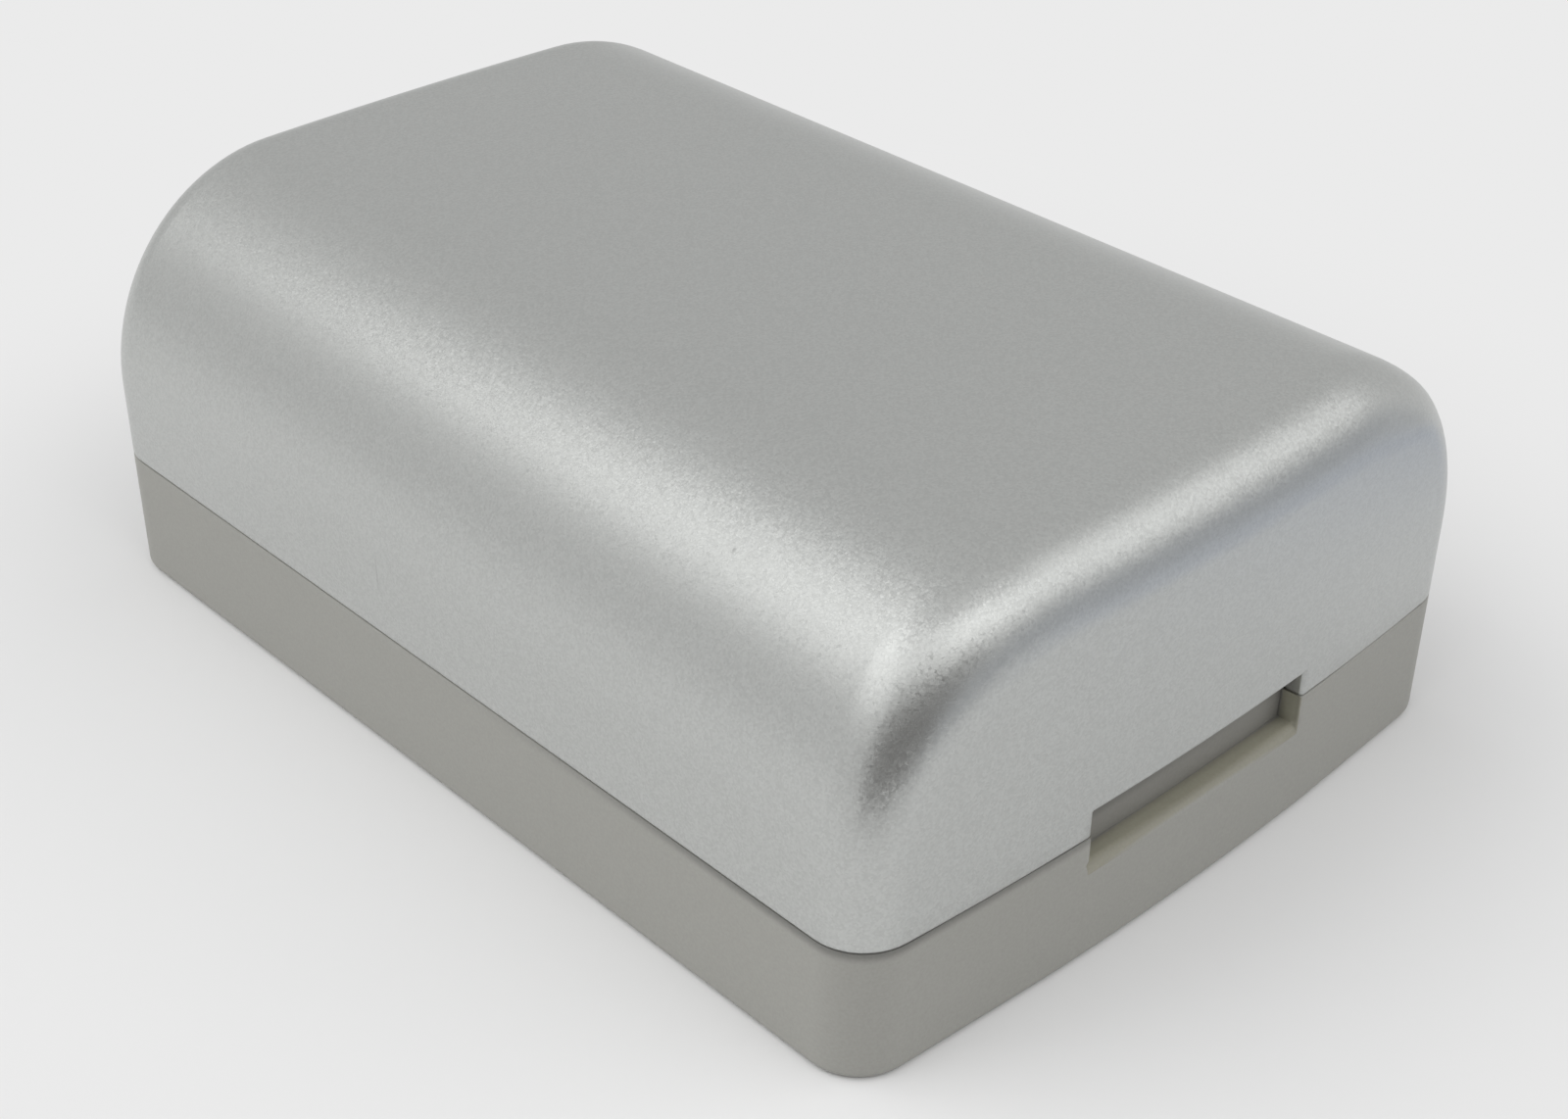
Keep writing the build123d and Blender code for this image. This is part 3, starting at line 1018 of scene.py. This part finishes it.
def softboxes(studio):
    """Five softboxes in an arc over the camera, facing the battery, lower towards the right."""
    for turn, share, drop, height in SOFTBOXES:
        lamp = bpy.data.lights.new("softbox", "AREA")
        lamp.shape = "RECTANGLE"
        lamp.size = studio.reach * SOFTBOX_WIDTH
        lamp.size_y = studio.reach * height
        lamp.energy = studio.softboxes * share
        box = bpy.data.objects.new("softbox", lamp)
        box.matrix_world = (
            Matrix.Rotation(radians(turn) - studio.azimuth, 4, "Z")
            @ Matrix.Rotation(studio.tilt + radians(drop), 4, "X")
            @ Matrix.Translation((0, 0, studio.reach))
        )
        bpy.context.scene.collection.objects.link(box)


def dark_card(name, colour, turn, lean, reach, width, height):
    """Dark card on the camera's side, standing or lying, seen only as a reflection in the silver."""
    bm = bmesh.new()
    bmesh.ops.create_grid(bm, x_segments=1, y_segments=1, size=0.5)
    bmesh.ops.scale(bm, vec=(width, height, 1), verts=bm.verts)
    bmesh.ops.translate(bm, vec=(0, height / 2, 0), verts=bm.verts)
    mesh = bpy.data.meshes.new(name)
    bm.to_mesh(mesh)
    bm.free()
    material, _, _ = plain_material(name, colour, roughness=0.9)
    mesh.materials.append(material)
    card = bpy.data.objects.new(name, mesh)
    card.matrix_world = (
        Matrix.Rotation(radians(turn), 4, "Z")
        @ Matrix.Translation((0, -reach, CARD_LIFT))
        @ Matrix.Rotation(radians(lean), 4, "X")
    )
    card.visible_camera = False
    card.visible_diffuse = False
    card.visible_shadow = False
    bpy.context.scene.collection.objects.link(card)


def photo_camera(studio):
    """Camera at the photograph's place and angle."""
    view = bpy.data.cameras.new("camera")
    view.sensor_fit = "HORIZONTAL"
    view.lens = studio.focal_px / PHOTO_WIDTH * view.sensor_width
    view.clip_start = CLIP_START
    camera = bpy.data.objects.new("camera", view)
    camera.matrix_world = (
        Matrix.Translation(studio.place)
        @ Matrix.Rotation(-studio.azimuth, 4, "Z")
        @ Matrix.Rotation(pi / 2 - studio.pitch, 4, "X")
        @ Matrix.Rotation(studio.roll, 4, "Z")
    )
    bpy.context.scene.collection.objects.link(camera)
    bpy.context.scene.camera = camera


# Operators

class BATTERY_OT_cover(bpy.types.Operator):
    """Build the silver cover"""

    bl_idname = "battery.cover"
    bl_label = "Silver Cover"

    def execute(self, context):
        scene = context.scene
        flake = group_named("Paint flake", flake_group)
        paint = silver_paint(scene.battery_finish, flake)
        bm = cover_shell(scene.battery_cover, scene.battery_catch)
        new_piece("silver_cover", bm, "upper_cover", paint)
        return {"FINISHED"}


class BATTERY_OT_tray(bpy.types.Operator):
    """Build the grey tray and the wall behind its notch"""

    bl_idname = "battery.tray"
    bl_label = "Grey Tray"

    def execute(self, context):
        scene = context.scene
        grain = group_named("Fine grain", grain_group)
        plastic = grey_moulding(scene.battery_finish, grain, scene.battery_catch)
        bm = tray_shell(scene.battery_tray, scene.battery_catch, scene.battery_cover)
        new_piece("grey_tray", bm, "lower_case", plastic)
        bm = pocket_wall(scene.battery_catch, scene.battery_cover)
        new_piece("notch_wall", bm, "lower_case", plastic)
        return {"FINISHED"}


class BATTERY_OT_inside(bpy.types.Operator):
    """Finish the cells, strips, sheets and board inside"""

    bl_idname = "battery.inside"
    bl_label = "Inner Pieces"

    def execute(self, context):
        grain = group_named("Fine grain", grain_group)
        drawn = group_named("Drawn lines", brushed_group)
        # Name, effect, roughness, metallic share, size of the effect, contrast and relief of each slot
        finishes = {
            "can_steel": ("plated_can", drawn, 0.3, 1.0, 0.3 * MM, 0.25, 0.004 * MM),
            "sleeve_film": ("shrink_film", grain, 0.25, 0.0, 1.2 * MM, 0.15, 0.01 * MM),
            "ring_paper": ("ring_paper", grain, 0.85, 0.0, 0.15 * MM, 0.3, 0.02 * MM),
            "nickel_strip": ("nickel_strip", drawn, 0.32, 1.0, 0.2 * MM, 0.3, 0.004 * MM),
            "sheet_paper": ("pressed_sheet", grain, 0.8, 0.0, 0.2 * MM, 0.35, 0.02 * MM),
            "board_laminate": ("board_laminate", grain, 0.4, 0.0, 0.5 * MM, 0.25, 0.01 * MM),
            "package_resin": ("package_resin", grain, 0.6, 0.0, 0.06 * MM, 0.2, 0.01 * MM),
            "resistor_body": ("resistor_glaze", grain, 0.45, 0.0, 0.1 * MM, 0.25, 0.005 * MM),
            "capacitor_body": ("fired_ceramic", grain, 0.55, 0.0, 0.1 * MM, 0.2, 0.005 * MM),
            "fuse_body": ("fuse_ceramic", grain, 0.5, 0.0, 0.1 * MM, 0.12, 0.005 * MM),
            "contact_plating": ("gold_plating", drawn, 0.24, 1.0, 0.12 * MM, 0.2, 0.003 * MM),
            "bed_adhesive": ("cured_adhesive", grain, 0.4, 0.0, 1.0 * MM, 0.12, 0.03 * MM),
            "pad_foam": ("closed_foam", grain, 0.95, 0.0, 0.25 * MM, 0.6, 0.08 * MM),
        }
        colours = {entry["slot"]: entry["base_color"][:3] for entry in frame["record"]["materials"]}
        slots = {entry["node"]: entry["material_slot"] for entry in frame["record"]["subparts"]}
        made = {}
        for slot, (name, group, *values) in finishes.items():
            made[slot] = simple_finish(name, group, colours[slot], *values)
        for name, node in frame["nodes"].items():
            if slots[name] in made:
                node.data.materials.clear()
                node.data.materials.append(made[slots[name]])
        return {"FINISHED"}


class BATTERY_OT_stage(bpy.types.Operator):
    """Set up the camera, floor, backdrop and lamps"""

    bl_idname = "battery.stage"
    bl_label = "Studio"

    def execute(self, context):
        scene = context.scene
        studio = scene.battery_studio
        scene.view_settings.view_transform = "Standard"
        backdrop_world(studio)
        pale_floor(studio)
        softboxes(studio)
        for card in CARDS:
            dark_card(*card)
        photo_camera(studio)
        return {"FINISHED"}


class BATTERY_PT_panel(bpy.types.Panel):
    """Steps and settings of the battery"""

    bl_label = "Camera Battery"
    bl_space_type = "VIEW_3D"
    bl_region_type = "UI"
    bl_category = "Battery"

    def draw(self, context):
        for step in STEPS:
            self.layout.operator(step.bl_idname)
        for attribute, settings in SETTINGS.items():
            box = self.layout.box()
            box.label(text=settings.__doc__)
            for name in settings.__annotations__:
                box.prop(getattr(context.scene, attribute), name)


STEPS = (BATTERY_OT_cover, BATTERY_OT_tray, BATTERY_OT_inside, BATTERY_OT_stage)
SETTINGS = {
    "battery_cover": CoverSizes,
    "battery_catch": CatchSizes,
    "battery_tray": TraySizes,
    "battery_finish": Finishes,
    "battery_studio": StudioSettings,
}


def register():
    """Register the settings, the steps and the panel."""
    for attribute, settings in SETTINGS.items():
        bpy.utils.register_class(settings)
        setattr(bpy.types.Scene, attribute, PointerProperty(type=settings))
    for step in STEPS:
        bpy.utils.register_class(step)
    bpy.utils.register_class(BATTERY_PT_panel)


def unregister():
    """Undo what register did."""
    bpy.utils.unregister_class(BATTERY_PT_panel)
    for step in reversed(STEPS):
        bpy.utils.unregister_class(step)
    for attribute, settings in reversed(SETTINGS.items()):
        delattr(bpy.types.Scene, attribute)
        bpy.utils.unregister_class(settings)


def main():
    """Build the battery and its studio."""
    register()
    bpy.ops.battery.cover()
    bpy.ops.battery.tray()
    bpy.ops.battery.inside()
    bpy.ops.battery.stage()


if __name__ == "__main__":
    main()
